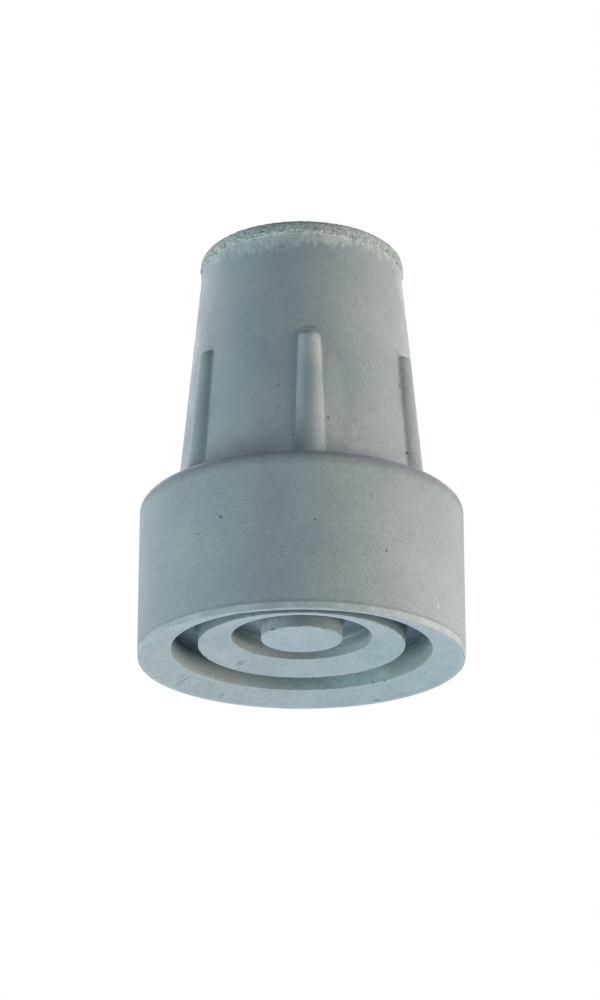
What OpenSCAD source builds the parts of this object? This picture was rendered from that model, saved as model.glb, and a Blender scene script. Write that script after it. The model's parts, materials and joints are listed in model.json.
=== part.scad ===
// Rubber walking-stick tip, moulded in one piece.
// A ribbed, tapered barrel grips the end of a tube and stands on a broad round
// base, whose hollowed tread has two ring grooves around a centre boss.
// Frame: millimetres, +Z up along the axis, origin on the floor under the tread.

/* [Base] */
// Diameter of the base
base_d = 45; // [41:0.5:60]
// Height of the base, from the floor to the top of its shoulder
base_h = 22.3; // [14:0.1:30]
// Radius that rounds the shoulder
shoulder_r = 1.4; // [0.4:0.1:3]
// Height of the bevel around the foot
bevel_h = 0.95; // [0.3:0.05:2]
// Width of the bevel around the foot
bevel_w = 0.4; // [0.1:0.05:1]
// Width of the flat ring that stands on the floor
foot_w = 0.4; // [0.1:0.05:0.6]

/* [Barrel] */
// Overall height, from the floor to the mouth
total_h = 60; // [52:0.5:80]
// Wall of the barrel just under the lip
mouth_wall = 3.3; // [2:0.1:6]
// Taper of the barrel, on each side
barrel_draft = 5; // [0:0.1:7]
// Height of the lip around the mouth
lip_h = 1.5; // [1:0.1:4]
// How far the lip stands out from the barrel
lip_proud = 0.4; // [0.1:0.05:1]
// Radius that rounds the lip's outer top edge
lip_round = 0.6; // [0.2:0.05:0.9]

/* [Socket] */
// Diameter of the socket that grips the tube
bore_d = 22; // [16:0.1:26]
// Depth of the socket
bore_depth = 40; // [20:0.5:44]
// Bevel at the mouth of the socket
mouth_bevel = 0.6; // [0.1:0.1:1.5]

/* [Ribs] */
// Number of ribs around the barrel
rib_count = 6; // [3:1:8]
// Height of the ribs' upper ends above the floor
rib_top_z = 42.4; // [32:0.1:48]
// Radius of a rib's round back at its upper end
rib_end_r = 1.5; // [1.3:0.05:2.5]
// Radius of a rib's round back where it meets the base
rib_root_r = 2.4; // [1.3:0.05:3.5]
// How far a rib stands out from the barrel
rib_proud = 1.1; // [0.5:0.05:1.3]
// Radius that rounds a rib's upper end
rib_round = 1; // [0.2:0.05:1.25]

/* [Tread] */
// Diameter of the centre boss
boss_d = 11.1; // [4:0.1:13]
// Width of the groove around the boss
inner_groove_w = 4.1; // [2:0.1:5]
// Width of the ring between the grooves
ring_w = 4.5; // [2:0.1:6]
// Width of the groove around the ring
outer_groove_w = 3.75; // [2:0.05:5]
// Height of the hollow at the outer land's inner edge
land_rise = 1.45; // [0:0.05:3]
// Height of the ring's outer edge above the floor
ring_z = 2.2; // [0:0.05:4]
// How much the ring rises towards the centre
ring_rise = 1.2; // [0:0.05:2]
// Height of the boss's face above the floor
boss_z = 3.1; // [0:0.05:5]
// Depth of the grooves below the ring and the boss
groove_depth = 2.9; // [1:0.1:5]
// Draft of the grooves' walls
groove_draft = 3; // [0:0.5:8]

/* [Hidden] */
$fn = 128;
eps = 0.01;

base_r = base_d / 2;
foot_r = base_r - bevel_w;
foot_in_r = foot_r - foot_w;
bore_r = bore_d / 2;
lip_z = total_h - lip_h;
barrel_top_r = bore_r + mouth_wall;
lip_r = barrel_top_r + lip_proud;
bore_floor_z = total_h - bore_depth;

// Edges of the tread's rings, from the centre outwards
boss_r = boss_d / 2;
ring_in_r = boss_r + inner_groove_w;
ring_out_r = ring_in_r + ring_w;
land_in_r = ring_out_r + outer_groove_w;
ring_in_z = ring_z + ring_rise;
inner_floor_z = boss_z + groove_depth;
outer_floor_z = ring_z + groove_depth;

// Radius of the tapered barrel at height z
function barrel_r(z) = barrel_top_r + (lip_z - z) * tan(barrel_draft);

// Half section of the base, with its rounded shoulder and bevelled foot
module base_section() {
    polygon([
        [0, 0],
        [foot_r, 0],
        [base_r, bevel_h],
        [base_r, base_h - shoulder_r],
        [base_r - shoulder_r, base_h],
        [0, base_h]
    ]);
    translate([base_r - shoulder_r, base_h - shoulder_r]) circle(shoulder_r);
}

// Half section of the barrel and of the lip around its mouth
module barrel_section() {
    polygon([
        [0, bore_floor_z - shoulder_r],
        [barrel_r(base_h - shoulder_r), base_h - shoulder_r],
        [barrel_top_r, lip_z],
        [lip_r, lip_z + lip_proud],
        [lip_r, total_h - lip_round],
        [lip_r - lip_round, total_h],
        [0, total_h]
    ]);
    translate([lip_r - lip_round, total_h - lip_round]) circle(lip_round);
}

// Half section of the socket, open through the mouth
module socket_section() {
    polygon([
        [0, bore_floor_z],
        [bore_r, bore_floor_z],
        [bore_r, total_h - mouth_bevel],
        [bore_r + mouth_bevel, total_h],
        [bore_r + mouth_bevel, total_h + eps],
        [0, total_h + eps]
    ]);
}

// Half section of a groove between two edges, [radius, height], narrower at its floor
module groove_section(inner, outer, floor_z) {
    polygon([
        [inner[0], -eps],
        inner,
        [inner[0] + (floor_z - inner[1]) * tan(groove_draft), floor_z],
        [outer[0] - (floor_z - outer[1]) * tan(groove_draft), floor_z],
        outer,
        [outer[0], -eps]
    ]);
}

// Half section of everything that is hollowed out of the tread
module tread_section() {
    polygon([[0, -eps], [boss_r, -eps], [boss_r, boss_z], [0, boss_z]]);
    polygon([[ring_in_r, -eps], [ring_out_r, -eps], [ring_out_r, ring_z], [ring_in_r, ring_in_z]]);
    polygon([[land_in_r, -eps], [foot_in_r, -eps], [foot_in_r, 0], [land_in_r, land_rise]]);
    groove_section([boss_r, boss_z], [ring_in_r, ring_in_z], inner_floor_z);
    groove_section([ring_out_r, ring_z], [land_in_r, land_rise], outer_floor_z);
}

// Half section of a rib along its own axis: a round back that tapers to a rounded end
module rib_section(length) {
    intersection() {
        union() {
            polygon([
                [0, 0],
                [rib_root_r, 0],
                [rib_end_r, length - rib_round],
                [rib_end_r - rib_round, length],
                [0, length]
            ]);
            translate([rib_end_r - rib_round, length - rib_round]) circle(rib_round);
        }
        square([rib_root_r + rib_end_r, length]);
    }
}

// One rib, leaning in with the barrel, with its axis sunk so that its back stands proud
module rib() {
    root_z = base_h - shoulder_r;
    root = [barrel_r(root_z) + rib_proud - rib_root_r, root_z];
    end = [barrel_r(rib_top_z) + rib_proud - rib_end_r, rib_top_z];
    lean = atan((end[0] - root[0]) / (end[1] - root[1]));
    translate([root[0], 0, root[1]])
        rotate([0, lean, 0])
            rotate_extrude() rib_section(norm(end - root));
}

// The whole moulding
module rubber_tip() {
    color("#7f9194") difference() {
        union() {
            rotate_extrude() difference() {
                union() {
                    base_section();
                    barrel_section();
                }
                tread_section();
            }
            for (i = [0 : rib_count - 1]) rotate([0, 0, i * 360 / rib_count - 90]) rib();
        }
        rotate_extrude() socket_section();
    }
}

rubber_tip();
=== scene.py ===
"""Rubber walking-stick tip, moulded in one piece: its surface, its finishes and a studio.

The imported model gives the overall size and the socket's. Lengths are in millimetres and
are named so, and turn to metres when a mesh, a lamp or the camera is made. The tip stands
on its tread at the origin, with its axis along +Z and one of its ribs facing -Y.
"""

import json
import logging
import math
from dataclasses import dataclass
from enum import Enum
from typing import Any, Sequence

import bpy
import numpy as np
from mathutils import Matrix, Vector, noise


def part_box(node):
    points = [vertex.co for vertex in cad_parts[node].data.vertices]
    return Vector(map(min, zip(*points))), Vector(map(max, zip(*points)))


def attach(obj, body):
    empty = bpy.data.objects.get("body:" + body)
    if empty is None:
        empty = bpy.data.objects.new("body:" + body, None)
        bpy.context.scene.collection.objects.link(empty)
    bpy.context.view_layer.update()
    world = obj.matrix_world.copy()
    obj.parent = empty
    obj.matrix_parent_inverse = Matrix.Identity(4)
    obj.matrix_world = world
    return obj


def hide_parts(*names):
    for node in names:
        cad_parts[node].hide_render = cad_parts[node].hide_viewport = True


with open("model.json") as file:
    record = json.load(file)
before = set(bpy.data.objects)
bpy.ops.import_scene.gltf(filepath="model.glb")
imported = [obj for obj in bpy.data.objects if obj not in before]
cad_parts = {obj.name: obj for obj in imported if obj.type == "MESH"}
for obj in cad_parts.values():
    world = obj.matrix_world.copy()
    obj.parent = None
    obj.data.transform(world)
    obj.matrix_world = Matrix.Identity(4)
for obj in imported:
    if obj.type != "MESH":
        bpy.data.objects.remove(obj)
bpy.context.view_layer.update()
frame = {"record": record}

LOG = logging.getLogger("rubber_tip")
METRES_PER_MM = 0.001
CAD_NODE = "rubber_tip"
BODY = "root"
FLASH_HEIGHT_MM = 58.25

# How far apart in the noise two seeds lie, and how much its finer layers count.
SEED_STEP = 17.31
CLOUD_ROUGHNESS = 0.55

# Attributes of the mesh's points: the height before a point is roughened or torn, and 1
# where it is on the arc of an outer edge.
LEVEL = "level_mm"
EDGE = "edge"


def metres(length_mm: float) -> float:
    """Returns a length in millimetres as metres."""
    return length_mm * METRES_PER_MM


def repeats(size_mm: float) -> float:
    """Returns the texture scale at which one repeat of a pattern takes size_mm."""
    return 1.0 / metres(size_mm)


def around(angle_deg: float, radius_mm: float, height_mm: float) -> Vector:
    """Finds a place around the tip.

    Args:
        angle_deg: its angle around the axis, from the front, positive to the right.
        radius_mm: its distance from the axis.
        height_mm: its height.

    Returns:
        The place, in metres.
    """
    turn = math.radians(angle_deg)
    place = Vector((radius_mm * math.sin(turn), -radius_mm * math.cos(turn), height_mm))
    return place * METRES_PER_MM


def linear(colour: str) -> tuple[float, float, float, float]:
    """Turns an sRGB hex colour to linear light.

    Args:
        colour: the colour as "#RRGGBB".

    Returns:
        Linear red, green and blue, and an alpha of 1.
    """
    channels = [int(colour[i : i + 2], 16) / 255 for i in (1, 3, 5)]
    red, green, blue = (
        c / 12.92 if c <= 0.04045 else ((c + 0.055) / 1.055) ** 2.4 for c in channels
    )
    return red, green, blue, 1.0


def placed(name: str, data: bpy.types.ID) -> bpy.types.Object:
    """Places an object in the scene.

    Args:
        name: its name.
        data: the mesh, the lamp or the camera that it shows.

    Returns:
        The object.
    """
    made = bpy.data.objects.new(name, data)
    bpy.context.scene.collection.objects.link(made)
    return made


def bare_tree(owner: bpy.types.Material | bpy.types.World) -> bpy.types.NodeTree:
    """Clears a node tree.

    Args:
        owner: the material or the world that has it.

    Returns:
        The tree, with nothing in it.
    """
    owner.use_nodes = True
    owner.node_tree.nodes.clear()
    return owner.node_tree


def add_node(
    tree: bpy.types.NodeTree,
    kind: str,
    inputs: dict[str | int, Any] | None = None,
    **settings: Any,
) -> bpy.types.Node:
    """Adds a node to a tree, sets it up and links it.

    Args:
        tree: the node tree of a material or of the world.
        kind: the node's type name after "ShaderNode".
        inputs: for an input's name or number, its value or the output that feeds it.
        **settings: the node's own settings, by name.

    Returns:
        The new node.
    """
    node = tree.nodes.new(f"ShaderNode{kind}")
    for name, value in settings.items():
        setattr(node, name, value)
    for key, value in (inputs or {}).items():
        if isinstance(value, bpy.types.NodeSocket):
            tree.links.new(value, node.inputs[key])
        else:
            node.inputs[key].default_value = value
    return node


def eased(
    tree: bpy.types.NodeTree,
    value: bpy.types.NodeSocket,
    span: tuple[float, float],
    to: tuple[float, float] = (0.0, 1.0),
) -> bpy.types.NodeSocket:
    """Goes smoothly from one number to another as a value crosses a span.

    Args:
        tree: the node tree of a material.
        value: the output that holds the value.
        span: where the span starts and where it ends.
        to: the numbers before it and after it.

    Returns:
        The output that holds the number.
    """
    ends = {"From Min": span[0], "From Max": span[1], "To Min": to[0], "To Max": to[1]}
    ramp = add_node(tree, "MapRange", {"Value": value, **ends}, interpolation_type="SMOOTHSTEP")
    return ramp.outputs[0]


class Finish(Enum):
    """How a stretch of the rubber's surface was left, by its place among the mesh's materials."""

    MOULDED = 0
    TREAD = 1
    GROUND = 2
    SOCKET = 3


@dataclass(frozen=True)
class Corner:
    """A corner of the tip's half section, with the run of surface that leads to it.

    Attributes:
        radius_mm: its distance from the axis.
        height_mm: its height above the floor.
        round_mm: radius of the arc that rounds it.
        run_rows: how many rows of points lead to it.
        arc_rows: how many rows of points are on its arc.
    """

    radius_mm: float
    height_mm: float
    round_mm: float = 0.0
    run_rows: int = 4
    arc_rows: int = 4


@dataclass(frozen=True)
class Row:
    """A ring of points around the tip, where it crosses the half section.

    Attributes:
        radius_mm: its distance from the axis.
        height_mm: its height above the floor.
        out: the direction out of the rubber, as a share of radius and of height.
        part: the stretch of the tip that it lies on.
        edge: whether it lies on the arc of an outer edge.
    """

    radius_mm: float
    height_mm: float
    out: tuple[float, float]
    part: "Part"
    edge: bool = False


class Part:
    """A stretch of the tip that adds its corners to the half section and shapes its own rows.

    Attributes:
        finish: how its surface was left.
        step: its rows have a point on every column, or on every second one.
    """

    finish: Finish = Finish.MOULDED
    step: int = 2

    def corners(self) -> list[Corner]:
        """Returns the stretch's corners, in order along the half section."""
        raise NotImplementedError

    def shape(self, row: Row, angles: np.ndarray) -> tuple[np.ndarray, np.ndarray]:
        """Returns the radius and the height of each of a row's points, as a plain ring."""
        return np.full_like(angles, row.radius_mm), np.full_like(angles, row.height_mm)


@dataclass(frozen=True)
class Ripple:
    """Smooth noise over the tip's surface, which is the same each time.

    Attributes:
        size_mm: the distance over which it changes.
        seed: picks one of many independent patterns.
        most: how high and how low it goes.
    """

    size_mm: float
    seed: int
    most: float = 1.0

    def at(
        self, radius_mm: np.ndarray, height_mm: np.ndarray, angles: np.ndarray
    ) -> np.ndarray:
        """Samples the noise.

        Args:
            radius_mm: distance of each point from the axis.
            height_mm: height of each point.
            angles: angle of each point around the axis, in radians.

        Returns:
            The noise at each point.
        """
        shift = self.seed * SEED_STEP
        x = radius_mm * np.cos(angles) / self.size_mm + shift
        y = radius_mm * np.sin(angles) / self.size_mm - shift
        z = height_mm / self.size_mm + shift / 2
        return self.most * np.array([noise.noise(Vector(p)) for p in zip(x, y, z)])

    def sunk(
        self, radius_mm: np.ndarray, height_mm: np.ndarray, angles: np.ndarray
    ) -> np.ndarray:
        """Returns how far the wall has sunk at each point, which is between 0 and most."""
        return (self.most + self.at(radius_mm, height_mm, angles)) / 2


@dataclass(frozen=True)
class Tread(Part):
    """The hollowed underside: a boss, a ring and a land, with a groove between each two.

    The land rises a little from its flat foot, which is all that touches the floor.
    """

    boss_radius_mm: float = 5.55
    boss_height_mm: float = 3.1
    ring_inner_mm: float = 9.65
    ring_inner_height_mm: float = 3.4
    ring_outer_mm: float = 14.15
    ring_outer_height_mm: float = 2.1
    land_inner_mm: float = 17.9
    land_inner_height_mm: float = 1.45
    foot_inner_mm: float = 21.7
    foot_outer_mm: float = 22.28
    groove_depth_mm: float = 2.9
    groove_draft_deg: float = 3.0
    foot_inner_round_mm: float = 0.2
    edge_round_mm: float = 0.12
    floor_round_mm: float = 0.45
    finish: Finish = Finish.TREAD

    def groove(self, inner: tuple[float, float], outer: tuple[float, float]) -> list[Corner]:
        """Lays out a groove between two edges.

        Args:
            inner: radius and height of its inner edge.
            outer: radius and height of its outer edge.

        Returns:
            The two edges with the two corners of the groove's floor between them.
        """
        floor = inner[1] + self.groove_depth_mm
        lean = math.tan(math.radians(self.groove_draft_deg))
        return [
            Corner(*inner, self.edge_round_mm, run_rows=9),
            Corner(inner[0] + (floor - inner[1]) * lean, floor, self.floor_round_mm),
            Corner(outer[0] - (floor - outer[1]) * lean, floor, self.floor_round_mm),
            Corner(*outer, self.edge_round_mm),
        ]

    def corners(self) -> list[Corner]:
        """Lays out the tread.

        Returns:
            The corners from the boss's middle to the ring that stands on the floor.
        """
        return [
            Corner(0.0, self.boss_height_mm),
            *self.groove(
                (self.boss_radius_mm, self.boss_height_mm),
                (self.ring_inner_mm, self.ring_inner_height_mm),
            ),
            *self.groove(
                (self.ring_outer_mm, self.ring_outer_height_mm),
                (self.land_inner_mm, self.land_inner_height_mm),
            ),
            Corner(self.foot_inner_mm, 0.0, self.foot_inner_round_mm, run_rows=9, arc_rows=3),
            Corner(self.foot_outer_mm, 0.0, self.edge_round_mm, run_rows=3, arc_rows=3),
        ]


@dataclass(frozen=True)
class Base(Part):
    """The broad round base, from its bevel to the barrel's foot."""

    radius_mm: float
    height_mm: float = 22.3
    taper_mm: float = 0.08
    bevel_height_mm: float = 0.88
    bevel_round_mm: float = 0.3
    shoulder_round_mm: float = 1.4
    sinking: Ripple = Ripple(14.0, 3, 0.05)

    def corners(self) -> list[Corner]:
        """Lays out the base.

        Returns:
            The corners of the bevel and the shoulder.
        """
        return [
            Corner(
                self.radius_mm - self.taper_mm,
                self.bevel_height_mm,
                self.bevel_round_mm,
                arc_rows=5,
            ),
            Corner(
                self.radius_mm, self.height_mm, self.shoulder_round_mm, run_rows=14, arc_rows=10
            ),
        ]

    def shape(self, row: Row, angles: np.ndarray) -> tuple[np.ndarray, np.ndarray]:
        """Draws a row in a little where the moulding has sunk.

        Args:
            row: the row to shape.
            angles: the angles of its points.

        Returns:
            The radius and the height of each point.
        """
        radius, height = super().shape(row, angles)
        if row.height_mm > self.bevel_height_mm:
            radius -= self.sinking.sunk(radius, height, angles)
        return radius, height


@dataclass(frozen=True)
class Ribs:
    """The round-backed ribs that lean in with the barrel, each with a fillet along its sides."""

    count: int = 6
    foot_height_mm: float = 20.9
    top_height_mm: float = 42.2
    foot_back_mm: float = 2.45
    top_back_mm: float = 1.5
    proud_mm: float = 1.1
    end_round_mm: float = 1.0
    fillet_mm: float = 0.32
    passes: int = 4

    def from_rib(self, angles: np.ndarray) -> np.ndarray:
        """Measures how far angles are from the ribs.

        Args:
            angles: the angles, in radians.

        Returns:
            For each one, how far it is from the middle of its nearest rib.
        """
        pitch = 2 * math.pi / self.count
        turned = angles + math.pi / 2 + pitch / 2
        return np.abs(np.mod(turned, pitch) - pitch / 2)

    def back(self, along: np.ndarray, length: float) -> np.ndarray:
        """Gives the radius of the rib's round back.

        Args:
            along: distance from the rib's foot, along its own axis.
            length: the rib's whole length.

        Returns:
            The radius at each distance, which is 0 past the rib's end.
        """
        straight = length - self.end_round_mm
        taper = self.foot_back_mm + (self.top_back_mm - self.foot_back_mm) * along / straight
        past = np.clip((along - straight) / self.end_round_mm, 0, 1)
        rounded = self.top_back_mm - self.end_round_mm * (1 - np.sqrt(1 - past**2))
        return np.where(along < straight, taper, np.where(along < length, rounded, 0.0))

    def surface(self, barrel: "Barrel", height: float, angles: np.ndarray) -> np.ndarray:
        """Finds where the ribbed barrel's surface is at a height.

        Args:
            barrel: the barrel that the ribs stand on.
            height: the height, in millimetres.
            angles: the angles to find it at, in radians.

        Returns:
            The distance from the tip's axis at each angle.
        """
        wall = barrel.wall_mm(height)
        if height > self.top_height_mm + self.proud_mm:
            return np.full_like(angles, wall)
        foot = barrel.wall_mm(self.foot_height_mm) + self.proud_mm - self.foot_back_mm
        top = barrel.wall_mm(self.top_height_mm) + self.proud_mm - self.top_back_mm
        rise = self.top_height_mm - self.foot_height_mm
        length = math.hypot(rise, top - foot)
        lean_in, lean_up = (top - foot) / length, rise / length
        middle = foot + (height - self.foot_height_mm) * (top - foot) / rise
        turn = self.from_rib(angles)
        # The rib leans, so its back at a place depends on how far out the surface is there.
        found = np.full_like(angles, wall)
        for _ in range(self.passes):
            along = (found - foot) * lean_in + (height - self.foot_height_mm) * lean_up
            back = self.back(along, length)
            found = self.blend(wall, middle, back, turn)
        return found

    def blend(
        self, wall: float, middle: float, back: np.ndarray, turn: np.ndarray
    ) -> np.ndarray:
        """Joins the rib's round back to the barrel's wall with a fillet, at one height.

        Args:
            wall: radius of the barrel's wall.
            middle: distance of the rib's axis from the tip's.
            back: radius of the rib's back at each angle.
            turn: angle of each point from the rib's middle.

        Returns:
            The distance of the joined surface from the tip's axis at each angle.
        """
        # The fillet's middle lies at (x, y), where it touches both the wall and the back.
        fillet = self.fillet_mm
        stands = back > wall - middle
        reach = wall + fillet
        y = (reach**2 - (back + fillet) ** 2 + middle**2) / (2 * middle)
        x = np.sqrt(np.clip(reach**2 - y**2, 0, None))
        wall_turn = np.arctan2(x, y)
        share = back / (back + fillet)
        rib_turn = np.arctan2(x * share, middle + (y - middle) * share)
        on_rib = middle * np.cos(turn) + np.sqrt(
            np.clip(back**2 - (middle * np.sin(turn)) ** 2, 0, None)
        )
        away = wall_turn - turn
        on_fillet = reach * np.cos(away) - np.sqrt(
            np.clip(fillet**2 - (reach * np.sin(away)) ** 2, 0, None)
        )
        joined = np.where(turn < rib_turn, on_rib, on_fillet)
        return np.where(stands & (turn < wall_turn), joined, wall)


@dataclass(frozen=True)
class Barrel(Part):
    """The tapered barrel that grips the tube, with its ribs.

    It starts on the base's flat, which ends at shoulder_mm. Its rows come closer together in
    lip_zone_mm below the lip and at the ribs' ends, where rib_end_rows gives heights above
    the ends and how many rows lead up to each.
    """

    shoulder_mm: float
    foot_height_mm: float = 22.3
    top_height_mm: float = 57.85
    top_radius_mm: float = 14.35
    draft_deg: float = 5.0
    foot_round_mm: float = 0.35
    lip_round_mm: float = 0.2
    lip_zone_mm: float = 3.0
    rib_end_rows: tuple[tuple[float, int], ...] = ((-1.6, 22), (0.4, 18), (1.6, 3))
    sinking: Ripple = Ripple(12.0, 5, 0.04)
    ribs: Ribs = Ribs()
    step: int = 1

    def wall_mm(self, height_mm: float) -> float:
        """Returns the radius of the barrel's wall at a height."""
        fall = self.top_height_mm - height_mm
        return self.top_radius_mm + fall * math.tan(math.radians(self.draft_deg))

    def corners(self) -> list[Corner]:
        """Lays out the barrel, with close rows at the ribs' ends.

        Returns:
            The corners from the barrel's foot to the lip.
        """
        foot = self.foot_height_mm
        levels = [(self.ribs.top_height_mm + above, rows) for above, rows in self.rib_end_rows]
        levels.append((self.top_height_mm - self.lip_zone_mm, 9))
        return [
            Corner(self.wall_mm(foot), foot, self.foot_round_mm, run_rows=8, arc_rows=5),
            *(Corner(self.wall_mm(z), z, run_rows=rows) for z, rows in levels),
            Corner(
                self.top_radius_mm, self.top_height_mm, self.lip_round_mm, run_rows=8, arc_rows=3
            ),
        ]

    def shape(self, row: Row, angles: np.ndarray) -> tuple[np.ndarray, np.ndarray]:
        """Raises the ribs from a row, and draws it in a little where the moulding has sunk.

        Args:
            row: the row to shape.
            angles: the angles of its points.

        Returns:
            The radius and the height of each point.
        """
        radius, height = super().shape(row, angles)
        wall = self.wall_mm(row.height_mm)
        lift = self.ribs.surface(self, row.height_mm, angles) - wall
        foot = self.wall_mm(self.foot_height_mm)
        if row.radius_mm > foot:
            lift *= (self.shoulder_mm - row.radius_mm) / (self.shoulder_mm - foot)
        return radius + lift - self.sinking.sunk(radius, height, angles), height


@dataclass(frozen=True)
class Mouth(Part):
    """The lip around the mouth, ground off above a ragged line of flash.

    The grinding's scratches are about grit_mm deep, and grit_spread says how much that
    differs. A tear cuts notch_mm into the flash, pulls it up or down by ragged_mm, and is
    gone flash_reach_mm away from it.
    """

    total_height_mm: float
    bore_radius_mm: float
    bevel_mm: float = 0.6
    bevel_round_mm: float = 0.15
    bore_round_mm: float = 0.3
    flash_radius_mm: float = 14.68
    flash_height_mm: float = FLASH_HEIGHT_MM
    flash_round_mm: float = 0.14
    flash_reach_mm: float = 0.4
    rim_radius_mm: float = 14.48
    rim_round_mm: float = 0.9
    grit_mm: float = 0.05
    grit_spread: float = 1.6
    grit: tuple[Ripple, ...] = (Ripple(0.6, 7, 0.6), Ripple(0.33, 8, 0.5))
    notch_mm: float = 0.22
    ragged_mm: float = 0.45
    tears: tuple[Ripple, ...] = (Ripple(3.2, 9, 0.9), Ripple(0.9, 10), Ripple(0.4, 11, 0.9))
    finish: Finish = Finish.GROUND
    step: int = 1

    def corners(self) -> list[Corner]:
        """Lays out the lip.

        Returns:
            The corners from the flash, over the rim, to the mouth's bevel.
        """
        top, bore, bevel = self.total_height_mm, self.bore_radius_mm, self.bevel_mm
        return [
            Corner(self.flash_radius_mm, self.flash_height_mm, self.flash_round_mm, arc_rows=3),
            Corner(self.rim_radius_mm, top, self.rim_round_mm, run_rows=9, arc_rows=8),
            Corner(bore + bevel, top, self.bevel_round_mm, run_rows=10, arc_rows=3),
            Corner(bore, top - bevel, self.bore_round_mm),
        ]

    def shape(self, row: Row, angles: np.ndarray) -> tuple[np.ndarray, np.ndarray]:
        """Roughens a row as grinding does, and tears the flash's edge.

        Args:
            row: the row to shape.
            angles: the angles of its points.

        Returns:
            The radius and the height of each point.
        """
        radius, height = super().shape(row, angles)
        if row.radius_mm < self.bore_radius_mm + self.bevel_mm:
            return radius, height
        grit = sum(ripple.at(radius, height, angles) for ripple in self.grit)
        sunk = self.grit_mm * (1 + self.grit_spread * grit).clip(0, 2)
        near = math.exp(-(((row.height_mm - self.flash_height_mm) / self.flash_reach_mm) ** 2))
        edge = np.full_like(height, self.flash_height_mm)
        round_tip = np.full_like(radius, self.flash_radius_mm)
        tear = sum(ripple.at(round_tip, edge, angles) for ripple in self.tears)
        radius -= row.out[0] * sunk + near * self.notch_mm * tear.clip(0, 1)
        height += near * self.ragged_mm * tear - row.out[1] * sunk
        return radius, height


@dataclass(frozen=True)
class Socket(Part):
    """The plain blind bore that takes the tube."""

    bore_radius_mm: float
    floor_height_mm: float
    floor_round_mm: float = 0.8
    finish: Finish = Finish.SOCKET

    def corners(self) -> list[Corner]:
        """Lays out the socket.

        Returns:
            The corner of its floor and the floor's middle.
        """
        return [
            Corner(
                self.bore_radius_mm,
                self.floor_height_mm,
                self.floor_round_mm,
                run_rows=14,
                arc_rows=5,
            ),
            Corner(0.0, self.floor_height_mm, run_rows=8),
        ]


class HalfSection:
    """The tip's outline from the boss's middle, around the outside, to the socket's floor."""

    def __init__(self, parts: Sequence[Part]) -> None:
        """Takes the corners of the parts, in order."""
        self.corners = [(part, corner) for part in parts for corner in part.corners()]

    def rows(self) -> list[Row]:
        """Samples the outline, with its corners rounded and its rows closer beside them.

        Returns:
            The rows, without the two points on the axis.
        """
        found: list[Row] = []
        points = [Vector((c.radius_mm, c.height_mm)) for _, c in self.corners]
        start = points[0]
        for i in range(1, len(points)):
            part, corner = self.corners[i]
            before = (points[i] - points[i - 1]).normalized()
            last = i + 1 == len(points)
            after = before if last else (points[i + 1] - points[i]).normalized()
            turn = math.atan2(before.x * after.y - before.y * after.x, before.dot(after))
            cut = corner.round_mm * math.tan(abs(turn) / 2)
            end = points[i] - before * cut
            # The straight run that leads to the corner, with close rows at both of its ends.
            for k in range(1, corner.run_rows + 1):
                share = (1 - math.cos(math.pi * k / (corner.run_rows + 1))) / 2
                found.append(self.row(start.lerp(end, share), before, part))
            if last:
                break
            found.append(self.row(end, before, part))
            # The arc that rounds the corner.
            side = math.copysign(1.0, turn)
            centre = end + Vector((-before.y, before.x)) * side * corner.round_mm
            for k in range(1, corner.arc_rows + 1 if corner.round_mm else 0):
                heading = math.atan2(before.y, before.x) + turn * k / corner.arc_rows
                along = Vector((math.cos(heading), math.sin(heading)))
                place = centre + Vector((along.y, -along.x)) * side * corner.round_mm
                found.append(self.row(place, along, part, turn > 0))
            start = points[i] + after * cut
        return found

    @staticmethod
    def row(place: Vector, along: Vector, part: Part, edge: bool = False) -> Row:
        """Returns the row at a place on the outline, which runs along a direction there."""
        return Row(place.x, place.y, (along.y, -along.x), part, edge)


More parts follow.
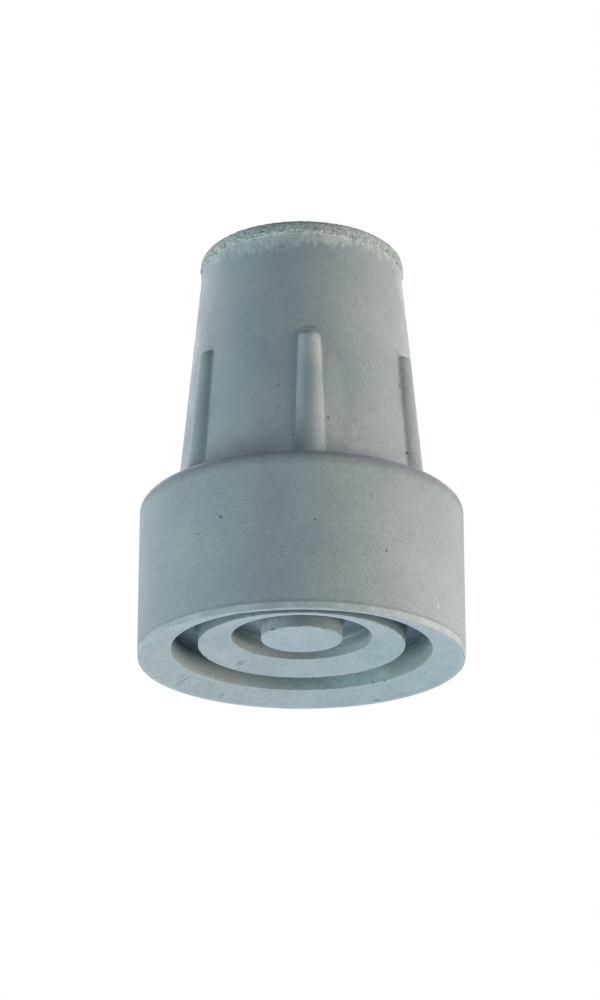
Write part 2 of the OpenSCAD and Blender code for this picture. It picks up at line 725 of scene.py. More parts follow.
@dataclass
class RubberTip:
    """The whole moulding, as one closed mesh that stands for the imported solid.

    Attributes:
        radius_mm: radius of the base.
        height_mm: overall height.
        bore_radius_mm: radius of the socket.
        bore_length_mm: length of the socket's plain bore, below its bevel.
        columns_per_rib: how many columns of points there are for each rib.
        rib_zone_deg: angle on each side of a rib's middle over which they are close.
        rib_zone_edge_deg: angle over which they spread out again.
        rib_density: how much closer they are there.
        spread_steps: steps in which that is worked out.
    """

    radius_mm: float
    height_mm: float
    bore_radius_mm: float
    bore_length_mm: float
    columns_per_rib: int = 76
    rib_zone_deg: float = 9.5
    rib_zone_edge_deg: float = 0.7
    rib_density: float = 2.3
    spread_steps: int = 2000

    def parts(self) -> list[Part]:
        """Sizes the tip's parts to one another.

        Returns:
            The parts, in order along the half section.
        """
        base = Base(self.radius_mm)
        barrel = Barrel(base.radius_mm - base.shoulder_round_mm)
        mouth = Mouth(self.height_mm, self.bore_radius_mm)
        floor = self.height_mm - mouth.bevel_mm - self.bore_length_mm
        return [Tread(), base, barrel, mouth, Socket(self.bore_radius_mm, floor)]

    def angles(self, ribs: Ribs) -> np.ndarray:
        """Spreads the columns around the tip, closer together over each rib.

        Args:
            ribs: the ribs, which repeat evenly around the tip.

        Returns:
            The columns' angles, in radians.
        """
        half = math.pi / ribs.count
        fine = np.linspace(-half, half, self.spread_steps + 1)
        zone, edge = math.radians(self.rib_zone_deg), math.radians(self.rib_zone_edge_deg)
        dense = 1 + (self.rib_density - 1) / (1 + np.exp((np.abs(fine) - zone) / edge))
        run = np.concatenate([[0], np.cumsum((dense[1:] + dense[:-1]) / 2)])
        wanted = np.arange(self.columns_per_rib) * run[-1] / self.columns_per_rib
        one = np.interp(wanted, run, fine)
        starts = np.arange(ribs.count) * 2 * half - math.pi / 2
        return (starts[:, None] + one[None, :]).ravel()

    def build(self) -> bpy.types.Object:
        """Makes the moulding's mesh and dresses it.

        Returns:
            The piece.
        """
        parts = self.parts()
        barrel = next(p for p in parts if isinstance(p, Barrel))
        angles = self.angles(barrel.ribs)
        rows = HalfSection(parts).rows()
        ends = [parts[0].corners()[0], parts[-1].corners()[-1]]
        points: list[tuple[float, float, float]] = [(0.0, 0.0, ends[0].height_mm)]
        rings: list[np.ndarray] = []
        levels = [ends[0].height_mm]
        edges = [0.0]
        for row in rows:
            turned = angles[:: row.part.step]
            radius, height = row.part.shape(row, turned)
            ring = np.stack([radius * np.cos(turned), radius * np.sin(turned), height], 1)
            rings.append(np.arange(len(points), len(points) + len(ring)))
            points.extend(map(tuple, ring))
            levels += [row.height_mm] * len(ring)
            edges += [float(row.edge)] * len(ring)
        points.append((0.0, 0.0, ends[1].height_mm))
        levels.append(ends[1].height_mm)
        edges.append(0.0)
        faces, finishes = self.skin(rows, rings, len(points) - 1)
        mesh = bpy.data.meshes.new("moulded_tip")
        mesh.from_pydata([Vector(p) * METRES_PER_MM for p in points], [], faces)
        mesh.polygons.foreach_set("material_index", [f.value for f in finishes])
        for name, values in ((LEVEL, levels), (EDGE, edges)):
            mesh.attributes.new(name, "FLOAT", "POINT").data.foreach_set("value", values)
        mesh.shade_smooth()
        self.dress(mesh)
        return placed("moulded_tip", mesh)

    @staticmethod
    def dress(mesh: bpy.types.Mesh) -> None:
        """Gives the mesh its finishes, in the order in which its faces count them.

        Args:
            mesh: the moulding's mesh.
        """
        finishes = {
            Finish.MOULDED: MouldedRubber(),
            Finish.TREAD: TreadRubber(),
            Finish.GROUND: GroundRubber(),
            Finish.SOCKET: SocketRubber(),
        }
        for finish in Finish:
            mesh.materials.append(finishes[finish].material())

    @staticmethod
    def skin(
        rows: Sequence[Row], rings: Sequence[np.ndarray], last: int
    ) -> tuple[list[tuple[int, ...]], list[Finish]]:
        """Joins each ring of points to the next, and closes both ends on the axis.

        Args:
            rows: the rows that the rings were made from.
            rings: each ring's vertex numbers, where a ring may have twice its neighbour's.
            last: the number of the vertex in the middle of the socket's floor.

        Returns:
            The faces and each face's finish.
        """
        faces: list[tuple[int, ...]] = []
        finishes: list[Finish] = []
        first, final = rings[0], rings[-1]
        faces += [(0, int(b), int(a)) for a, b in zip(first, np.roll(first, -1))]
        finishes += [rows[0].part.finish] * len(first)
        for i in range(len(rings) - 1):
            # Three triangles join two points to three where one ring is twice as fine.
            low, high = rings[i], rings[i + 1]
            a, b = low, np.roll(low, -1)
            c, d = np.roll(high, -1), high
            if len(low) == len(high):
                new = np.stack([a, b, c, d], 1).tolist()
            elif len(low) < len(high):
                mid, end = high[1::2], np.roll(high[::2], -1)
                new = np.concatenate(
                    [np.stack(t, 1) for t in ((a, mid, high[::2]), (a, b, mid), (b, end, mid))]
                ).tolist()
            else:
                mid, end = low[1::2], np.roll(low[::2], -1)
                new = np.concatenate(
                    [np.stack(t, 1) for t in ((low[::2], mid, d), (mid, c, d), (mid, end, c))]
                ).tolist()
            faces += map(tuple, new)
            finishes += [rows[i + 1].part.finish] * len(new)
        faces += [(last, int(a), int(b)) for a, b in zip(final, np.roll(final, -1))]
        finishes += [rows[-1].part.finish] * len(final)
        return faces, finishes


@dataclass(frozen=True)
class Mark:
    """A speck, a pit, a smudge or a patch of painted light or shade: an ellipsoid whose meeting
    with the surface is marked.

    Attributes:
        angle_deg: angle around the axis of its middle, from the front, positive to the right.
        radius_mm: distance of its middle from the axis.
        height_mm: height of its middle.
        round_mm: its half width, around the axis.
        deep_mm: its half depth, towards the axis.
        high_mm: its half height.
        strength: its share at its middle.
        tilt_deg: how far it leans over to the right.
        core: how much of its size is at full strength.
    """

    angle_deg: float
    radius_mm: float
    height_mm: float
    round_mm: float = 0.2
    deep_mm: float = 0.3
    high_mm: float = 0.2
    strength: float = 0.6
    tilt_deg: float = 0.0
    core: float = 0.35

    def share(self, on: "Surface", place: bpy.types.NodeSocket) -> bpy.types.NodeSocket:
        """Measures how much of the mark lies at a place.

        Args:
            on: the surface that is marked.
            place: the place on the tip, in metres.

        Returns:
            The output that holds the mark's strength there, which is 0 outside it.
        """
        size = (self.round_mm, self.deep_mm, self.high_mm)
        local = add_node(
            on.tree,
            "Mapping",
            {
                "Vector": place,
                "Location": around(self.angle_deg, self.radius_mm, self.height_mm),
                "Rotation": (0.0, math.radians(self.tilt_deg), math.radians(self.angle_deg)),
                "Scale": Vector(size) * METRES_PER_MM,
            },
            vector_type="TEXTURE",
        )
        away = add_node(on.tree, "VectorMath", {0: local.outputs[0]}, operation="LENGTH")
        return eased(on.tree, away.outputs["Value"], (1.0, self.core), (0.0, self.strength))


@dataclass(frozen=True)
class Clouds:
    """A cloudy pattern.

    Attributes:
        size_mm: the size of its clouds.
        spread: the noise at which it is at its lowest and at its highest.
        to: what it is at these two.
        detail: how many finer layers it has.
        stretch: how much longer its clouds are along the tip's axis than across it.
        shift: picks another stretch of the noise.
    """

    size_mm: float
    spread: tuple[float, float] = (0.3, 0.7)
    to: tuple[float, float] = (0.0, 1.0)
    detail: float = 3.0
    stretch: float = 1.0
    shift: float = 0.0


@dataclass(frozen=True)
class Band:
    """A band around the tip.

    Attributes:
        foot_mm: the heights between which it comes in.
        top_mm: the heights at which it is gone again and at which it is still whole.
        most: its share where it is whole.
    """

    foot_mm: tuple[float, float]
    top_mm: tuple[float, float]
    most: float = 1.0


@dataclass(frozen=True)
class Layer:
    """Something that lies over a finish.

    Attributes:
        shares: the outputs whose product is how much it covers.
        colour: its colour.
        proud_mm: how much it stands proud, which is below 0 for a pit.
    """

    shares: tuple[bpy.types.NodeSocket, ...]
    colour: str
    proud_mm: float = 0.0

    def cover(self, tree: bpy.types.NodeTree) -> bpy.types.NodeSocket:
        """Multiplies the layer's shares.

        Args:
            tree: the finish's node tree.

        Returns:
            The output that holds how much the layer covers.
        """
        covered, *others = self.shares
        for share in others:
            covered = add_node(
                tree, "Math", {0: covered, 1: share}, operation="MULTIPLY"
            ).outputs[0]
        return covered


@dataclass(frozen=True)
class Surface:
    """A finish's node tree, with the place on the tip and its plain height there."""

    tree: bpy.types.NodeTree
    place: bpy.types.NodeSocket
    level: bpy.types.NodeSocket

    def clouds(self, pattern: Clouds) -> bpy.types.NodeSocket:
        """Spreads a cloudy pattern over the surface.

        Args:
            pattern: the pattern.

        Returns:
            The output that holds it.
        """
        longer = add_node(
            self.tree,
            "VectorMath",
            {
                0: self.place,
                1: (1.0, 1.0, 1.0 / pattern.stretch),
                2: (pattern.shift, 0.0, pattern.shift),
            },
            operation="MULTIPLY_ADD",
        )
        fog = add_node(
            self.tree,
            "TexNoise",
            {
                "Vector": longer.outputs[0],
                "Scale": repeats(pattern.size_mm),
                "Detail": pattern.detail,
                "Roughness": CLOUD_ROUGHNESS,
            },
        )
        return eased(self.tree, fog.outputs["Fac"], pattern.spread, pattern.to)

    def height(self, span_mm: tuple[float, float], most: float = 1.0) -> bpy.types.NodeSocket:
        """Returns a share that grows from 0 to most over a span of height on the tip."""
        up = add_node(self.tree, "SeparateXYZ", {0: self.place}).outputs["Z"]
        return eased(self.tree, up, tuple(metres(h) for h in span_mm), (0.0, most))

    def band(self, band: Band) -> tuple[bpy.types.NodeSocket, bpy.types.NodeSocket]:
        """Returns the two shares whose product is a band around the tip."""
        return self.height(band.foot_mm, band.most), self.height(band.top_mm)

    def edges(self) -> bpy.types.NodeSocket:
        """Returns a share that is 1 on the tip's outer edges and 0 away from them."""
        return add_node(self.tree, "Attribute", attribute_name=EDGE).outputs["Fac"]

    def out(self, span_mm: tuple[float, float], least: float) -> bpy.types.NodeSocket:
        """Measures how far out a place is.

        Args:
            span_mm: distances from the axis at which the share is least and at which it is 1.
            least: the least share.

        Returns:
            The output that holds the share.
        """
        level = add_node(
            self.tree, "VectorMath", {0: self.place, 1: (1.0, 1.0, 0.0)}, operation="MULTIPLY"
        )
        away = add_node(self.tree, "VectorMath", {0: level.outputs[0]}, operation="LENGTH")
        span = tuple(metres(r) for r in span_mm)
        return eased(self.tree, away.outputs["Value"], span, (least, 1.0))

    def marked(
        self, marks: Sequence[Mark], uneven_mm: float = 0.25, wander_mm: float = 0.6
    ) -> bpy.types.NodeSocket:
        """Lays marks on the surface.

        Args:
            marks: the marks, one or more.
            uneven_mm: how far their edges wander.
            wander_mm: the distance over which they wander.

        Returns:
            The output that holds the strongest mark at each place.
        """
        wander = add_node(
            self.tree,
            "TexNoise",
            {"Vector": self.place, "Scale": repeats(wander_mm), "Detail": 2.0},
        )
        centred = add_node(
            self.tree,
            "VectorMath",
            {0: wander.outputs["Color"], 1: (0.5, 0.5, 0.5)},
            operation="SUBTRACT",
        )
        moved = add_node(
            self.tree,
            "VectorMath",
            {0: centred.outputs[0], 1: (metres(uneven_mm),) * 3, 2: self.place},
            operation="MULTIPLY_ADD",
        )
        strongest, *others = (mark.share(self, moved.outputs[0]) for mark in marks)
        for share in others:
            strongest = add_node(
                self.tree, "Math", {0: strongest, 1: share}, operation="MAXIMUM"
            ).outputs[0]
        return strongest


@dataclass(frozen=True)
class Rubber:
    """Grey vulcanised rubber as its mould leaves it: matt, finely grained and faintly clouded.

    Its refractive index is about that of natural rubber. A dry bloom on it dulls it, so the
    eye finds soft shade and no highlights. The grain that the mould gives it is about 0.1 mm
    wide, which is too fine to show, so it is drawn three times as wide.

    Attributes:
        name: the material's name.
        pale: colour of the palest rubber.
        deep: colour of the deepest rubber.
        dark_mark: colour of the marks.
        dark_mark_mm: how much they stand proud.
        pale_mark: colour of the pale marks.
        cloud_mm: width of the clouds between the pale and the deep rubber.
        grain_mm: width of the grain.
        grain_tone: how much the grain darkens and lightens.
        grain_depth_mm: how much the grain stands proud.
        blotch_mm: width of the wider blotches.
        blotch_tone: how much they darken and lighten.
        ior: refractive index.
        roughness: roughness, on average.
        roughness_spread: how much it differs from the average.
        shine_mm: width of the clouds in which it differs.
        gloss: level of the mirror-like part of the light.
        sheen: weight of the bloom.
        sheen_roughness: how widely the bloom scatters light.
        sheen_tint: colour of the bloom.
        marks: the dark marks.
        pale_marks: the pale marks.
    """

    name: str = "vulcanised_rubber"
    pale: str = "#959FA1"
    deep: str = "#89949A"
    dark_mark: str = "#394346"
    dark_mark_mm: float = -0.05
    pale_mark: str = "#C4CCC8"
    cloud_mm: float = 14.0
    grain_mm: float = 0.3
    grain_tone: float = 0.08
    grain_depth_mm: float = 0.01
    blotch_mm: float = 0.9
    blotch_tone: float = 0.035
    ior: float = 1.52
    roughness: float = 0.62
    roughness_spread: float = 0.08
    shine_mm: float = 14.0 / 3
    gloss: float = 0.3
    sheen: float = 0.1
    sheen_roughness: float = 0.5
    # A faint blue in the bloom paints a little of the bluish light along the outline.
    sheen_tint: str = "#D2E0FF"
    marks: tuple[Mark, ...] = ()
    pale_marks: tuple[Mark, ...] = ()

    def layers(self, on: Surface) -> list[Layer]:
        """Returns what lies over the plain rubber, from the lowest up."""
        return []

    def material(self) -> bpy.types.Material:
        """Makes the finish.

        Returns:
            The material, with its colour, roughness and relief from nodes.
        """
        made = bpy.data.materials.new(self.name)
        tree = bare_tree(made)
        on = Surface(
            tree,
            add_node(tree, "TexCoord").outputs["Object"],
            add_node(tree, "Attribute", attribute_name=LEVEL).outputs["Fac"],
        )
        grain = on.clouds(Clouds(self.grain_mm, to=(-1.0, 1.0)))
        clouded = on.clouds(Clouds(self.cloud_mm, detail=4.0))
        layers = [Layer((clouded,), self.pale), *self.layers(on)]
        if self.pale_marks:
            layers.append(Layer((on.marked(self.pale_marks),), self.pale_mark))
        if self.marks:
            layers.append(Layer((on.marked(self.marks),), self.dark_mark, self.dark_mark_mm))
        colour: Any = linear(self.deep)
        relief = add_node(
            tree, "Math", {0: grain, 1: self.grain_depth_mm}, operation="MULTIPLY"
        ).outputs[0]
        for layer in layers:
            cover = layer.cover(tree)
            colour = add_node(
                tree,
                "Mix",
                {0: cover, 6: colour, 7: linear(layer.colour)},
                data_type="RGBA",
            ).outputs[2]
            if layer.proud_mm:
                relief = add_node(
                    tree,
                    "Math",
                    {0: cover, 1: layer.proud_mm, 2: relief},
                    operation="MULTIPLY_ADD",
                ).outputs[0]
        bump = add_node(tree, "Bump", {"Distance": METRES_PER_MM, "Height": relief})
        span = (self.roughness - self.roughness_spread, self.roughness + self.roughness_spread)
        shader = add_node(
            tree,
            "BsdfPrincipled",
            {
                "Base Color": self.grained(on, colour, grain),
                "Roughness": on.clouds(Clouds(self.shine_mm, to=span)),
                "Normal": bump.outputs[0],
                "IOR": self.ior,
                "Specular IOR Level": self.gloss,
                "Sheen Weight": self.sheen,
                "Sheen Roughness": self.sheen_roughness,
                "Sheen Tint": linear(self.sheen_tint),
            },
        )
        add_node(tree, "OutputMaterial", {"Surface": shader.outputs["BSDF"]})
        return made

    def grained(
        self, on: Surface, colour: bpy.types.NodeSocket, grain: bpy.types.NodeSocket
    ) -> bpy.types.NodeSocket:
        """Darkens and lightens a colour with the grain and with wider blotches.

        Args:
            on: the surface.
            colour: the output that holds the colour.
            grain: the output that holds the grain, from -1 to 1.

        Returns:
            The output that holds the grained colour.
        """
        span = (1.0 - self.blotch_tone, 1.0 + self.blotch_tone)
        blotch = on.clouds(Clouds(self.blotch_mm, to=span, shift=0.3))
        tone = add_node(
            on.tree,
            "Math",
            {0: grain, 1: self.grain_tone, 2: blotch},
            operation="MULTIPLY_ADD",
        )
        toned = add_node(
            on.tree,
            "Mix",
            {0: 1.0, 6: colour, 7: tone.outputs[0]},
            data_type="RGBA",
            blend_type="MULTIPLY",
        )
        return toned.outputs[2]


@dataclass(frozen=True)
class MouldedRubber(Rubber):
    """The outside: as moulded, with painted shade, dust, scuffs and pale smears under the flash.

    The smears are rags of flash that the grinding dragged down, and they catch the eye as
    short upright streaks, lighter than the grey below them. Painted shade darkens the crease
    above the bevel and the shoulder's round, dust lies low on the barrel, and the bevel is
    scuffed pale.
    The bloom has more weight here and a blue tint, so the outline turns bluish where it is
    seen edge on: the blue is painted light, the colour of a bluish light along the outline.
    """

    name: str = "vulcanised_rubber_moulded"
    flash: str = "#C9D1CE"
    smear: str = "#B0BABB"
    pit: str = "#3F484C"
    # The bloom's weight and blue tint paint the bluish light along the outline.
    sheen: float = 0.18
    sheen_tint: str = "#5E98FF"
    smear_reach_mm: float = 3.6
    smear_fall: tuple[float, float] = (-1.0, 0.05)
    rags: Clouds = Clouds(0.6, (0.25, 0.75), (-0.1, 0.95), stretch=3.0, shift=0.5)
    torn_mm: tuple[float, float] = (FLASH_HEIGHT_MM - 0.6, FLASH_HEIGHT_MM - 0.15)
    frayed: Clouds = Clouds(0.5, (0.42, 0.66), (0.0, 0.6), shift=0.9)
    pitted: Clouds = Clouds(0.36, (0.6, 0.7), (0.0, 0.7), shift=1.1)
    dragged: tuple[Mark, ...] = (
        Mark(-26.0, 14.4, 56.7, 7.0, 1.8, 2.8, 0.65),
        Mark(-4.0, 14.4, 56.9, 4.0, 1.5, 2.4, 0.5),
        Mark(14.0, 14.4, 57.3, 3.6, 1.5, 1.6, 0.6),
        Mark(-60.0, 14.4, 57.3, 2.6, 1.5, 1.6, 0.3),
    )
    scuff: str = "#B9C4C6"
    scuffed: Clouds = Clouds(2.5, to=(0.1, 0.5))
    bevel_mm: tuple[float, float] = (1.0, 0.8)
    # Painted shade, darkening the crease above the bevel and the shoulder's round.
    painted_shade: str = "#45423F"
    crease: Band = Band((0.88, 0.98), (1.5, 0.98), 0.23)
    shoulder: Band = Band((19.7, 21.2), (23.0, 22.25), 0.34)
    dust: str = "#B4BDBC"
    dusty: Clouds = Clouds(2.2, (0.42, 0.75), detail=4.0, shift=0.7)
    dust_band: Band = Band((22.35, 23.4), (33.0, 24.0), 0.35)
    marks: tuple[Mark, ...] = (
        Mark(-32.0, 22.5, 13.5, 0.38, 0.5, 0.33, 0.64),
        Mark(-40.9, 22.5, 11.9, 0.28, 0.5, 0.25, 0.56),
        Mark(0.7, 22.5, 12.2, 0.3, 0.5, 0.28, 0.6),
        Mark(20.4, 22.5, 16.3, 0.25, 0.5, 0.75, 0.24),
        Mark(18.4, 22.5, 12.5, 0.25, 0.5, 0.31, 0.24),
        Mark(25.7, 22.5, 8.9, 0.3, 0.5, 0.38, 0.68),
        Mark(-41.7, 22.5, 7.6, 0.31, 0.5, 0.25, 0.32),
        Mark(-31.8, 22.5, 15.2, 0.25, 0.5, 0.25, 0.28),
        Mark(-0.1, 22.5, 7.5, 0.25, 0.5, 0.25, 0.24),
        Mark(8.3, 16.9, 29.1, 0.28, 0.5, 0.28, 0.6),
        Mark(13.6, 16.85, 29.2, 0.25, 0.5, 0.25, 0.32),
        Mark(-15.0, 16.4, 34.1, 0.31, 0.5, 0.31, 0.28),
        Mark(-7.4, 17.1, 26.4, 0.31, 0.5, 0.31, 0.4),
        Mark(53.3, 17.06, 26.9, 0.44, 0.6, 0.38, 0.8),
        Mark(53.1, 16.15, 37.25, 0.38, 0.6, 0.5, 0.72),
        Mark(-60.2, 14.33, 57.9, 0.38, 0.6, 0.38, 0.64),
        Mark(-31.5, 14.5, 57.7, 0.45, 0.6, 0.3, 0.4),
        # Painted shade at the ribs' ends, on the barrel just above them.
        Mark(0.0, 15.7, 42.9, 1.25, 0.9, 0.4, 0.4),
        Mark(-56.8, 16.4, 42.3, 0.6, 0.8, 0.6, 0.35),
        Mark(54.0, 16.0, 42.4, 0.7, 0.8, 0.7, 0.35),
        # Shade that is drawn as dirt, beside the right rib and down the barrel's left.
        Mark(53.1, 17.1, 27.0, 0.75, 2.0, 9.0, 0.18, 1.5),
        Mark(53.8, 16.2, 37.0, 0.75, 2.0, 8.0, 0.26, 1.5),
        Mark(-64.0, 16.0, 44.0, 4.5, 2.0, 8.0, 0.13),
    )
    pale_marks: tuple[Mark, ...] = (
        Mark(49.9, 22.5, 3.4, 0.4, 0.6, 0.5, 0.55),
        Mark(28.0, 16.1, 37.2, 0.18, 0.6, 1.6, 0.3, -30.0),
        # Light that is drawn as dust, up the front rib and to its right.
        Mark(0.0, 16.4, 38.5, 1.5, 1.2, 5.0, 0.3),
        Mark(4.8, 16.2, 38.6, 0.9, 1.2, 4.2, 0.25),
        Mark(11.0, 16.4, 32.0, 2.4, 1.5, 10.0, 0.25),
    )

    def layers(self, on: Surface) -> list[Layer]:
        """Lays the scuffs, the painted shade, the dust, the smears and the flash's thin edge.

        Args:
            on: the surface.

        Returns:
            The layers, with the pits torn into the flash over them.
        """
        reach = (FLASH_HEIGHT_MM - self.smear_reach_mm, FLASH_HEIGHT_MM)
        fall = eased(on.tree, on.level, reach, self.smear_fall)
        farther = add_node(on.tree, "Math", {0: fall, 1: on.marked(self.dragged)}, operation="ADD")
        smeared = add_node(
            on.tree,
            "Math",
            {0: on.clouds(self.rags), 1: farther.outputs[0]},
            operation="ADD",
            use_clamp=True,
        )
        near = eased(on.tree, on.level, self.torn_mm)
        return [
            Layer((on.clouds(self.scuffed), on.height(self.bevel_mm)), self.scuff),
            # Painted shade in the crease above the bevel and on the shoulder's round.
            Layer(on.band(self.crease), self.painted_shade),
            Layer(on.band(self.shoulder), self.painted_shade),
            Layer((on.clouds(self.dusty), *on.band(self.dust_band)), self.dust),
            Layer((smeared.outputs[0],), self.smear, proud_mm=0.05),
            Layer((near, on.clouds(self.frayed)), self.flash, proud_mm=0.05),
            Layer((near, on.clouds(self.pitted)), self.pit, proud_mm=-0.08),
        ]


@dataclass(frozen=True)
class TreadRubber(Rubber):
    """The underside: painted lighter and bluer for the light from below, darker in its grooves.

    The back wall of the outer groove is drawn lighter and greener in broad patches. Dried dust
    is drawn there, but it may be light, as some of the dark in the grooves may be shade.
    """

    name: str = "vulcanised_rubber_tread"
    # Lighter and bluer than the outside's rubber: painted light from below on the underside.
    pale: str = "#99A3A6"
    deep: str = "#8D989E"
    # Soil packed into the grooves, and painted shade that deepens down them, in one colour.
    dirt_and_shade: str = "#2A454D"
    packed: Clouds = Clouds(1.6, to=(0.5, 0.8), shift=0.4)
    # Pale scuffs on the outer edges: partly wear, partly a painted highlight along their rounding.
    scuff: str = "#B9C4C6"
    scuffed: Clouds = Clouds(1.1, to=(0.05, 0.45), shift=0.8)
    upright: tuple[float, float] = (0.8, 0.3)
    wall_mm: tuple[float, float] = (0.9, 2.6)
    wall_dirt_and_shade: float = 0.42
    floor_mm: tuple[float, float] = (4.3, 5.0)
    inner_mm: tuple[float, float] = (9.7, 14.0)
    inner_wall_dirt_and_shade: float = 0.45
    inner_floor_dirt_and_shade: float = 0.5
    grain_tone: float = 0.1
    blotch_tone: float = 0.06
    marks: tuple[Mark, ...] = (
        Mark(-139.6, 12.3, 2.75, 0.8, 1.3, 1.5, 0.33),
        Mark(-48.5, 5.6, 3.3, 0.7, 0.4, 0.3, 0.7),
        Mark(-127.0, 19.8, 0.8, 0.6, 1.9, 1.5, 0.28),
        Mark(-123.5, 19.2, 0.9, 0.6, 1.3, 1.5, 0.2),
        Mark(-150.0, 20.5, 0.44, 0.6, 1.1, 1.0, 0.2),
        Mark(-113.0, 14.0, 2.24, 0.3, 0.3, 0.4, 0.7),
        Mark(141.8, 17.9, 1.6, 0.22, 0.22, 0.4, 0.6),
        Mark(135.5, 17.9, 1.45, 0.3, 0.2, 0.4, 0.6),
        Mark(146.0, 21.3, 0.15, 0.8, 0.45, 0.8, 0.4),
    )
    # Broad patches that draw the back wall of the outer groove lighter and greener.
    pale_mark: str = "#A3BFC3"
    pale_marks: tuple[Mark, ...] = (
        Mark(142.0, 17.95, 2.7, 4.6, 1.5, 1.6, 0.4),
        Mark(157.0, 17.95, 2.7, 4.6, 1.5, 1.6, 0.45),
        Mark(171.0, 17.95, 2.7, 4.6, 1.5, 1.6, 0.27),
        Mark(-174.0, 17.95, 2.7, 4.6, 1.5, 1.6, 0.22),
        Mark(-160.0, 17.95, 2.7, 4.6, 1.5, 1.6, 0.15),
    )

    def layers(self, on: Surface) -> list[Layer]:
        """Darkens the grooves with soil and painted shade, and scuffs the edges, partly as a
        painted highlight.

        Args:
            on: the surface.

        Returns:
            The layers of soil and painted shade on the walls and on the floors, and the scuffs.
        """
        facing = add_node(on.tree, "TexCoord").outputs["Normal"]
        up = add_node(on.tree, "SeparateXYZ", {0: facing}).outputs["Z"]
        flat = add_node(on.tree, "Math", {0: up}, operation="ABSOLUTE").outputs[0]
        wall = (eased(on.tree, flat, self.upright), on.height(self.wall_mm, self.wall_dirt_and_shade))
        floor = (on.clouds(self.packed), on.height(self.floor_mm))
        return [
            # Soil and painted shade on the grooves' walls and floors, darker deeper down.
            Layer((*wall, on.out(self.inner_mm, self.inner_wall_dirt_and_shade)), self.dirt_and_shade),
            Layer((*floor, on.out(self.inner_mm, self.inner_floor_dirt_and_shade)), self.dirt_and_shade),
            # Scuffs on the outer edges, partly a painted highlight.
            Layer((on.edges(), on.clouds(self.scuffed)), self.scuff),
        ]


@dataclass(frozen=True)
class GroundRubber(Rubber):
    """The lip above the flash: ground, so torn and dull, with dark pits and pale dust.

    Grinding tears rubber instead of cutting it, which leaves a coarse speckle. Its darkest
    pits lie close above the flash.
    """

    name: str = "vulcanised_rubber_ground"
    pale: str = "#A9B3B4"
    deep: str = "#9CA6A9"
    pit: str = "#4A5458"
    dust: str = "#C6CCC7"
    pitted: Clouds = Clouds(0.36, (0.5, 0.7), (0.0, 0.35), 2.0)
    dusty: Clouds = Clouds(0.3, (0.56, 0.72), (0.0, 0.4), 2.0, shift=0.6)
    torn: Clouds = Clouds(0.36, (0.57, 0.69), (0.0, 0.6), shift=1.1)
    torn_mm: tuple[float, float] = (FLASH_HEIGHT_MM + 0.45, FLASH_HEIGHT_MM + 0.1)
    grain_tone: float = 0.12
    grain_depth_mm: float = 0.03
    blotch_tone: float = 0.1
    roughness: float = 0.85
    gloss: float = 0.2
    marks: tuple[Mark, ...] = (
        Mark(68.7, 14.45, 58.9, 0.35, 0.6, 0.3, 0.8),
        Mark(-31.0, 14.6, 58.6, 0.32, 0.6, 0.18, 0.8),
        Mark(-26.3, 14.6, 58.5, 0.5, 0.6, 0.15, 0.9),
        Mark(-54.5, 14.6, 58.3, 0.25, 0.6, 0.2, 0.5),
        Mark(3.9, 14.6, 58.55, 0.4, 0.6, 0.15, 0.8),
        Mark(18.0, 14.5, 58.9, 1.1, 0.6, 0.3, 0.2),
    )

    def layers(self, on: Surface) -> list[Layer]:
        """Speckles the lip.

        Args:
            on: the surface.

        Returns:
            The pits, the dust and the deep pits along the flash.
        """
        low = eased(on.tree, on.level, self.torn_mm)
        return [
            Layer((on.clouds(self.pitted),), self.pit, proud_mm=-0.03),
            Layer((on.clouds(self.dusty),), self.dust),
            Layer((low, on.clouds(self.torn)), self.pit, proud_mm=-0.05),
        ]


@dataclass(frozen=True)
class SocketRubber(Rubber):
    """The bore, smoothed by a polished core that was drawn out of it: faint upright streaks."""

    name: str = "vulcanised_rubber_socket"
    streak: str = "#7C878B"
    drawn: Clouds = Clouds(0.7, (0.45, 0.8), (0.0, 0.6), stretch=12.0)
    roughness: float = 0.5
    grain_depth_mm: float = 0.006

    def layers(self, on: Surface) -> list[Layer]:
        """Returns the streaks that the core left."""
        return [Layer((on.clouds(self.drawn),), self.streak)]


@dataclass(frozen=True)
class Softbox:
    """A soft square lamp that faces the middle of the tip."""

    name: str
    azimuth_deg: float
    elevation_deg: float
    colour: str
    power_w: float
    distance_mm: float = 600.0
    side_mm: float = 350.0

    def build(self, target: Vector) -> bpy.types.Object:
        """Hangs the lamp.

        Args:
            target: the point it faces, in metres.

        Returns:
            The lamp.
        """
        lamp = bpy.data.lights.new(self.name, "AREA")
        lamp.shape = "SQUARE"
        lamp.size = metres(self.side_mm)
        lamp.color = linear(self.colour)[:3]
        lamp.energy = self.power_w
        rise = math.radians(self.elevation_deg)
        level_mm, up_mm = self.distance_mm * math.cos(rise), self.distance_mm * math.sin(rise)
        away = around(self.azimuth_deg, level_mm, up_mm)
        hung = placed(self.name, lamp)
        hung.location = target + away
        hung.rotation_euler = away.to_track_quat("Z", "Y").to_euler()
        hung.visible_camera = False
        return hung


@dataclass(frozen=True)
class Camera:
    """The camera, low in front of the tip and looking up at its tread."""

    distance_mm: float = 350.0
    azimuth_deg: float = -3.8
    height_mm: float = -112.96
    pitch_deg: float = 21.315
    lens_mm: float = 97.02
    shift: float = -0.0017
    nearest_mm: float = 10.0

    def build(self) -> bpy.types.Object:
        """Sets the camera up as the scene's own.

        Returns:
            The camera.
        """
        data = bpy.data.cameras.new("camera")
        data.lens = self.lens_mm
        data.shift_x = self.shift
        data.clip_start = metres(self.nearest_mm)
        made = placed("camera", data)
        made.location = around(self.azimuth_deg, self.distance_mm, self.height_mm)
        turned = (90 + self.pitch_deg, 0.0, self.azimuth_deg)
        made.rotation_euler = [math.radians(angle) for angle in turned]
        bpy.context.scene.camera = made
        return made


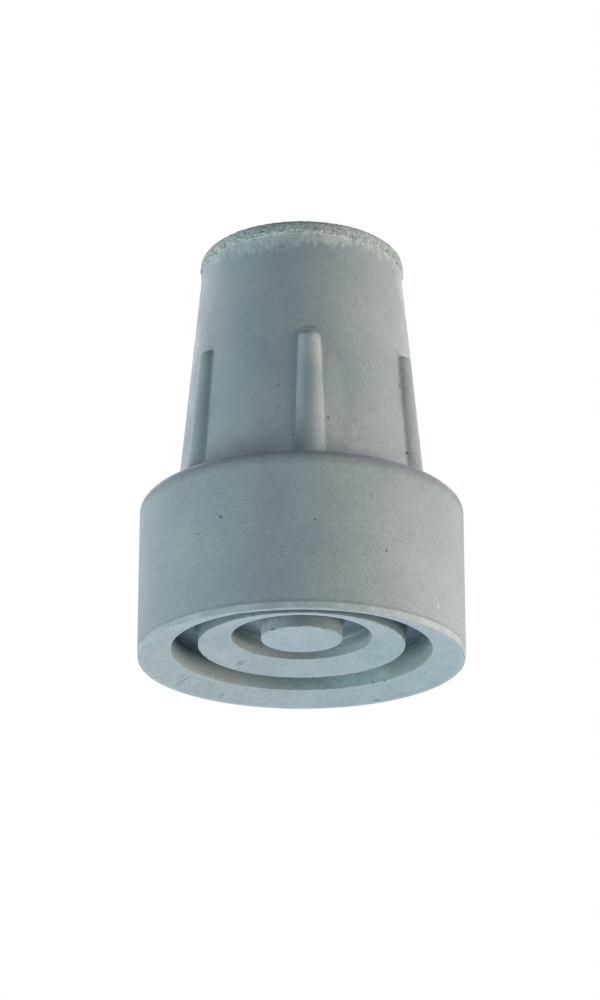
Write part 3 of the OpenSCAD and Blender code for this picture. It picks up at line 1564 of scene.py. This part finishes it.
@dataclass
class Studio:
    """A plain pale floor, a white background and soft light.

    Most of the lamps weren't set by hand. All but the two high ones have a direction, a
    colour and a power that came from a separate least-squares program and were then trimmed
    a little, so they are tinted, and none of them stands above the level.
    """

    floor_radius_mm: float = 600.0
    floor_drop_mm: float = 0.2
    floor_sides: int = 96
    floor_colour: str = "#E6E8E9"
    floor_glow: str = "#A6A9AA"
    fade_mm: tuple[float, float] = (90.0, 420.0)
    world_strength: float = 0.03
    lamps: tuple[Softbox, ...] = (
        Softbox("front", -15, 0, "#E5F7FF", 0.95),
        Softbox("left", -90, -30, "#F9FFFB", 3.60),
        Softbox("left_low", -40, -45, "#94F9FF", 0.51),
        Softbox("right", 65, -15, "#FFE9DC", 3.19),
        Softbox("right_side", 90, -15, "#FBFFEF", 2.47),
        Softbox("low_back", 180, -45, "#C5E1FF", 1.31),
        Softbox("high_back_left", -150, 40, "#FFF8F0", 1.4),
        Softbox("high_back_right", 150, 40, "#FFF8F0", 1.4),
    )

    def build(self, target: Vector) -> None:
        """Sets up the floor, the background and the lamps.

        Args:
            target: the point that the lamps face, in metres.
        """
        self.background()
        self.floor()
        for lamp in self.lamps:
            lamp.build(target)
        settings = bpy.context.scene.view_settings
        settings.view_transform = "Standard"

    def background(self) -> None:
        """Makes the world white where it is seen or reflected, and a soft light elsewhere."""
        world = bpy.data.worlds.new("studio")
        bpy.context.scene.world = world
        tree = bare_tree(world)
        path = add_node(tree, "LightPath")
        shown = path.outputs["Is Camera Ray"]
        for ray in ("Is Glossy Ray", "Is Transmission Ray"):
            shown = add_node(
                tree, "Math", {0: shown, 1: path.outputs[ray]}, operation="MAXIMUM"
            ).outputs[0]
        light, white = (
            add_node(tree, "Background", {"Color": linear("#FFFFFF"), "Strength": strength})
            for strength in (self.world_strength, 1.0)
        )
        mix = add_node(tree, "MixShader", {0: shown, 1: light.outputs[0], 2: white.outputs[0]})
        add_node(tree, "OutputWorld", {"Surface": mix.outputs[0]})

    def floor(self) -> bpy.types.Object:
        """Makes a round pale floor, which only the camera sees.

        Returns:
            The floor.
        """
        turns = np.linspace(0, 2 * math.pi, self.floor_sides, endpoint=False)
        ring = metres(self.floor_radius_mm) * np.stack([np.cos(turns), np.sin(turns), 0 * turns], 1)
        mesh = bpy.data.meshes.new("floor")
        mesh.from_pydata(ring.tolist(), [], [tuple(range(self.floor_sides))])
        mesh.materials.append(self.floor_paint())
        made = placed("floor", mesh)
        made.location.z = -metres(self.floor_drop_mm)
        made.visible_shadow = False
        made.visible_diffuse = False
        made.visible_glossy = False
        return made

    def floor_paint(self) -> bpy.types.Material:
        """Makes the floor's matt paint, which takes a shadow.

        It is clear from below and fades into the white background far out.

        Returns:
            The material.
        """
        made = bpy.data.materials.new("matt_floor_paint")
        tree = bare_tree(made)
        place = add_node(tree, "TexCoord").outputs["Object"]
        away = add_node(tree, "VectorMath", {0: place}, operation="LENGTH").outputs["Value"]
        fade = eased(tree, away, tuple(metres(r) for r in self.fade_mm))
        side = add_node(tree, "NewGeometry").outputs["Backfacing"]
        clear = add_node(tree, "Math", {0: side, 1: fade}, operation="MAXIMUM")
        seen = add_node(tree, "LightPath").outputs["Is Camera Ray"]
        paint = add_node(tree, "BsdfDiffuse", {"Color": linear(self.floor_colour)})
        glow = add_node(tree, "Emission", {"Color": linear(self.floor_glow), "Strength": seen})
        both = add_node(tree, "AddShader", {0: paint.outputs[0], 1: glow.outputs[0]})
        through = add_node(tree, "BsdfTransparent")
        mix = add_node(
            tree,
            "MixShader",
            {0: clear.outputs[0], 1: both.outputs[0], 2: through.outputs[0]},
        )
        add_node(tree, "OutputMaterial", {"Surface": mix.outputs[0]})
        return made


def main() -> None:
    """Builds the tip and the studio around it."""
    logging.basicConfig(level=logging.INFO, format="%(name)s: %(message)s")
    low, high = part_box(CAD_NODE)
    socket = next(m for m in frame["record"]["mounts"] if m["name"] == "socket")
    tip = RubberTip(
        radius_mm=(high.x - low.x) / 2 / METRES_PER_MM,
        height_mm=high.z / METRES_PER_MM,
        bore_radius_mm=socket["dims"]["r_mm"],
        bore_length_mm=socket["dims"]["length_mm"],
    )
    piece = tip.build()
    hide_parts(CAD_NODE)
    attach(piece, BODY)
    LOG.info("%s: %d faces", piece.name, len(piece.data.polygons))
    Camera().build()
    Studio().build((low + high) / 2)


if __name__ == "__main__":
    main()
